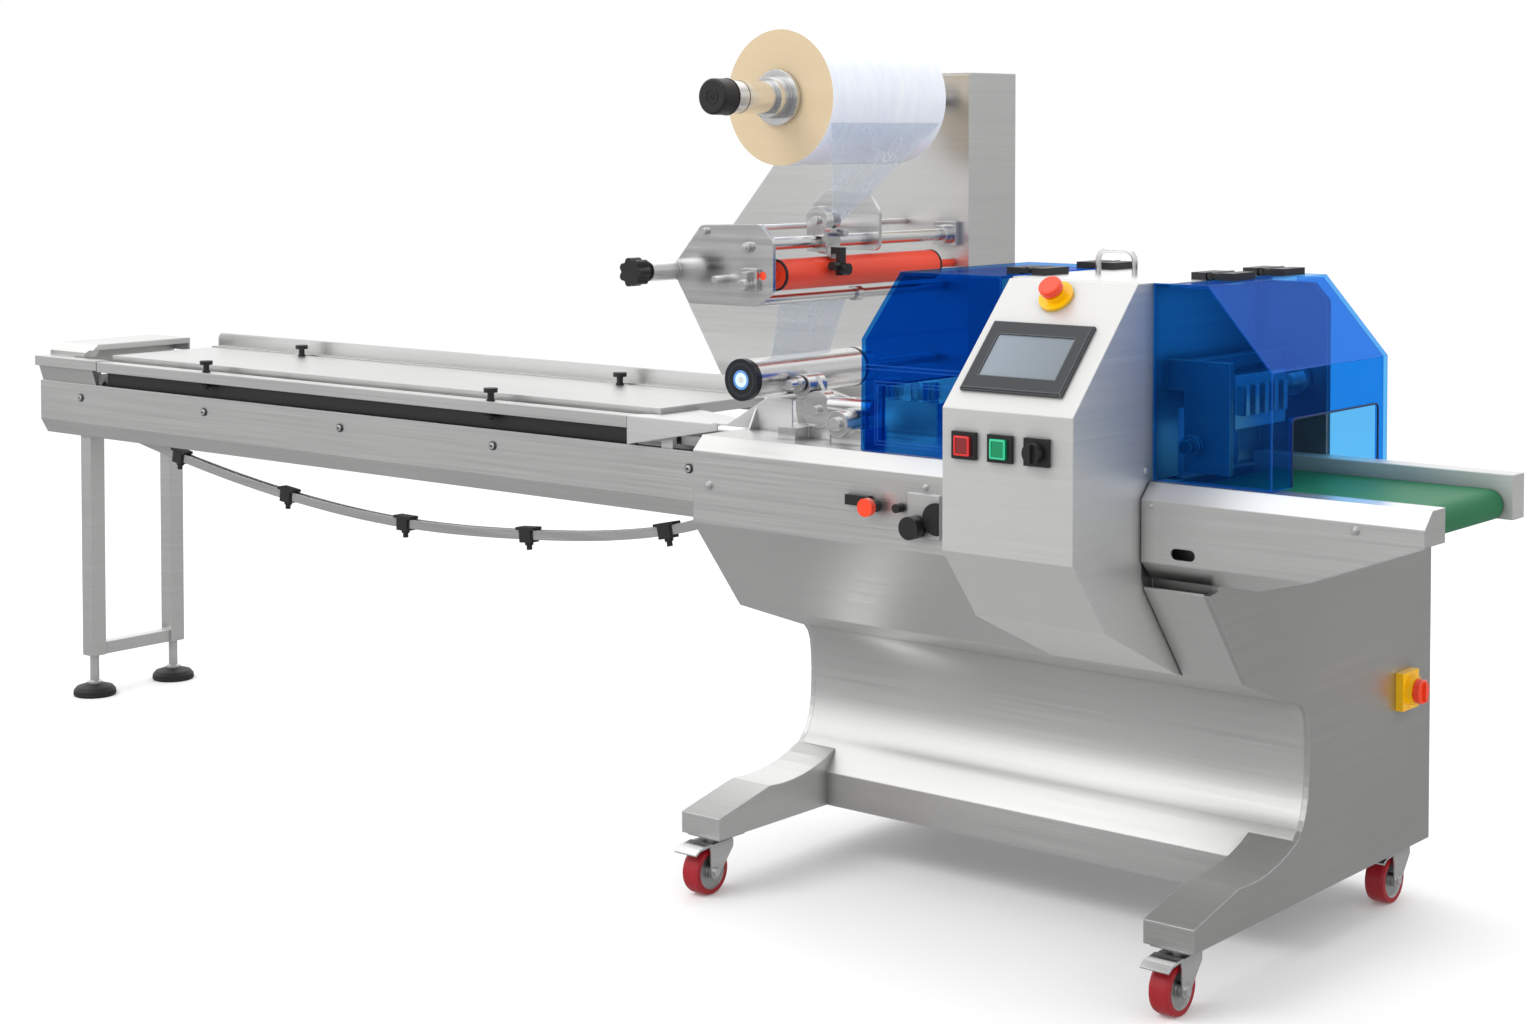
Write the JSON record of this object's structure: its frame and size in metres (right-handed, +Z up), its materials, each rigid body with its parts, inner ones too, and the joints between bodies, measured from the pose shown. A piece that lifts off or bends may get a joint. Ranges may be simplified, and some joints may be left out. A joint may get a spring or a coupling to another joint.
{
  "type": "horizontal flow wrapper",
  "caption": "Horizontal flow wrapper with a lug-chain infeed, overhead film roll, sloping console, tinted hinged guards and a belt discharge on a castered body",
  "frame": {"origin": "on the floor under the middle of the overall box", "axes": "+X along the flow from infeed to discharge, +Y to the back, +Z up"},
  "size_m": [3.796, 1.046, 1.5925],
  "materials": {
    "steel": "satin brushed",
    "caster_steel": "zinc plated",
    "wheel_red": "smooth",
    "guard_blue": "clear tinted",
    "belt_green": "satin",
    "roller_red": "smooth",
    "black_plastic": "matt",
    "pad_rubber": "matt",
    "bezel_grey": "matt",
    "screen": "gloss",
    "yellow": "gloss",
    "signal_red": "gloss",
    "signal_green": "gloss",
    "film": "gloss",
    "clear_film": "clear"
  },
  "bodies": {
    "machine": {"belt_rollers": "steel", "body_core": "steel", "chain_lugs": "black_plastic", "clamp_clip": "black_plastic", "console_housing": "steel", "control_bezels": "black_plastic", "discharge_belt": "belt_green", "discharge_frame": "steel", "end_plate_left": "steel", "end_plate_right": "steel", "end_sealer_frame": "steel", "estop_collar": "yellow", "fascia_knobs": "black_plastic", "fascia_left": "steel", "fascia_red_knob": "signal_red", "fascia_right": "steel", "film_column": "steel", "film_frame_front": "steel", "film_web": "clear_film", "fin_unit": "steel", "former": "steel", "guard_bridge": "steel", "guide_knobs": "black_plastic", "hmi_bezel": "bezel_grey", "hmi_screen": "screen", "infeed_decks": "steel", "infeed_frame": "steel", "infeed_guide_rear": "steel", "infeed_sides": "steel", "levelling_pads": "pad_rubber", "lower_covers": "steel", "lug_chain": "steel", "main_switch_plate": "yellow", "sealing_jaw": "steel", "table_top": "steel", "tail_cover": "steel", "transfer_plate": "steel", "web_clamp": "steel"},
    "left_guard": {"guard_left": "guard_blue"},
    "right_guard": {"guard_right": "guard_blue"},
    "film_reel": {"reel_shaft": "steel", "film_roll": "film"},
    "dancer_roller": {"red_roller": "roller_red"},
    "draw_roller_unit": {"draw_roller": "steel"},
    "reel_brake_knob": {"star_knob": "black_plastic"},
    "speed_dial": {"speed_knob": "black_plastic"},
    "isolator_knob": {"main_switch_knob": "signal_red"},
    "emergency_stop": {"estop_button": "signal_red"},
    "stop_push": {"stop_button": "signal_red"},
    "start_push": {"start_button": "signal_green"},
    "swivel_fl": {"caster_fork_fl": "caster_steel"},
    "wheel_fl": {"caster_wheel_fl": "wheel_red"},
    "swivel_fr": {"caster_fork_fr": "caster_steel"},
    "wheel_fr": {"caster_wheel_fr": "wheel_red"},
    "swivel_bl": {"caster_fork_bl": "caster_steel"},
    "wheel_bl": {"caster_wheel_bl": "wheel_red"},
    "swivel_br": {"caster_fork_br": "caster_steel"},
    "wheel_br": {"caster_wheel_br": "wheel_red"}
  },
  "joints": [
    {"name": "left_guard_hinge", "type": "hinge", "parent": "machine", "child": "left_guard", "pos_m": [1.13, -0.055, 1.167], "axis": [0, 1, 0], "range_deg": [0, 85]},
    {"name": "right_guard_hinge", "type": "hinge", "parent": "machine", "child": "right_guard", "pos_m": [1.445, -0.011, 1.167], "axis": [0, -1, 0], "range_deg": [0, 85]},
    {"name": "film_reel_spin", "type": "hinge", "parent": "machine", "child": "film_reel", "pos_m": [0.552, 0.015, 1.466], "axis": [0, 1, 0], "continuous": true},
    {"name": "dancer_roller_spin", "type": "hinge", "parent": "machine", "child": "dancer_roller", "pos_m": [0.582, 0.015, 1.139], "axis": [0, 1, 0], "continuous": true},
    {"name": "draw_roller_spin", "type": "hinge", "parent": "machine", "child": "draw_roller_unit", "pos_m": [0.542, 0.015, 0.947], "axis": [0, 1, 0], "continuous": true},
    {"name": "reel_brake_turn", "type": "hinge", "parent": "machine", "child": "reel_brake_knob", "pos_m": [0.362, -0.285, 1.143], "axis": [0, -1, 0], "range_deg": [-360, 360]},
    {"name": "speed_dial_turn", "type": "hinge", "parent": "machine", "child": "speed_dial", "pos_m": [1.346, -0.5, 0.904], "axis": [0, -1, 0], "range_deg": [0, 270]},
    {"name": "isolator_turn", "type": "hinge", "parent": "machine", "child": "isolator_knob", "pos_m": [1.545, 0.414, 0.401], "axis": [1, 0, 0], "range_deg": [0, 90]},
    {"name": "emergency_stop_push", "type": "slide", "parent": "machine", "child": "emergency_stop", "axis": [0, 0.7215, -0.6924], "range_m": [0, 0.006], "stiffness_N_per_m": 400},
    {"name": "stop_push_travel", "type": "slide", "parent": "machine", "child": "stop_push", "axis": [0, 1, 0], "range_m": [0, 0.003], "stiffness_N_per_m": 300},
    {"name": "start_push_travel", "type": "slide", "parent": "machine", "child": "start_push", "axis": [0, 1, 0], "range_m": [0, 0.003], "stiffness_N_per_m": 300},
    {"name": "caster_swivel_fl", "type": "hinge", "parent": "machine", "child": "swivel_fl", "pos_m": [0.5, -0.283, 0.095], "axis": [0, 0, 1], "continuous": true},
    {"name": "caster_roll_fl", "type": "hinge", "parent": "swivel_fl", "child": "wheel_fl", "pos_m": [0.5, -0.315, 0.044], "axis": [1, 0, 0], "continuous": true},
    {"name": "caster_swivel_fr", "type": "hinge", "parent": "machine", "child": "swivel_fr", "pos_m": [1.486, -0.283, 0.095], "axis": [0, 0, 1], "continuous": true},
    {"name": "caster_roll_fr", "type": "hinge", "parent": "swivel_fr", "child": "wheel_fr", "pos_m": [1.486, -0.315, 0.044], "axis": [1, 0, 0], "continuous": true},
    {"name": "caster_swivel_bl", "type": "hinge", "parent": "machine", "child": "swivel_bl", "pos_m": [0.5, 0.47, 0.095], "axis": [0, 0, 1], "continuous": true},
    {"name": "caster_roll_bl", "type": "hinge", "parent": "swivel_bl", "child": "wheel_bl", "pos_m": [0.5, 0.438, 0.044], "axis": [1, 0, 0], "continuous": true},
    {"name": "caster_swivel_br", "type": "hinge", "parent": "machine", "child": "swivel_br", "pos_m": [1.486, 0.47, 0.095], "axis": [0, 0, 1], "continuous": true},
    {"name": "caster_roll_br", "type": "hinge", "parent": "swivel_br", "child": "wheel_br", "pos_m": [1.486, 0.438, 0.044], "axis": [1, 0, 0], "continuous": true}
  ]
}
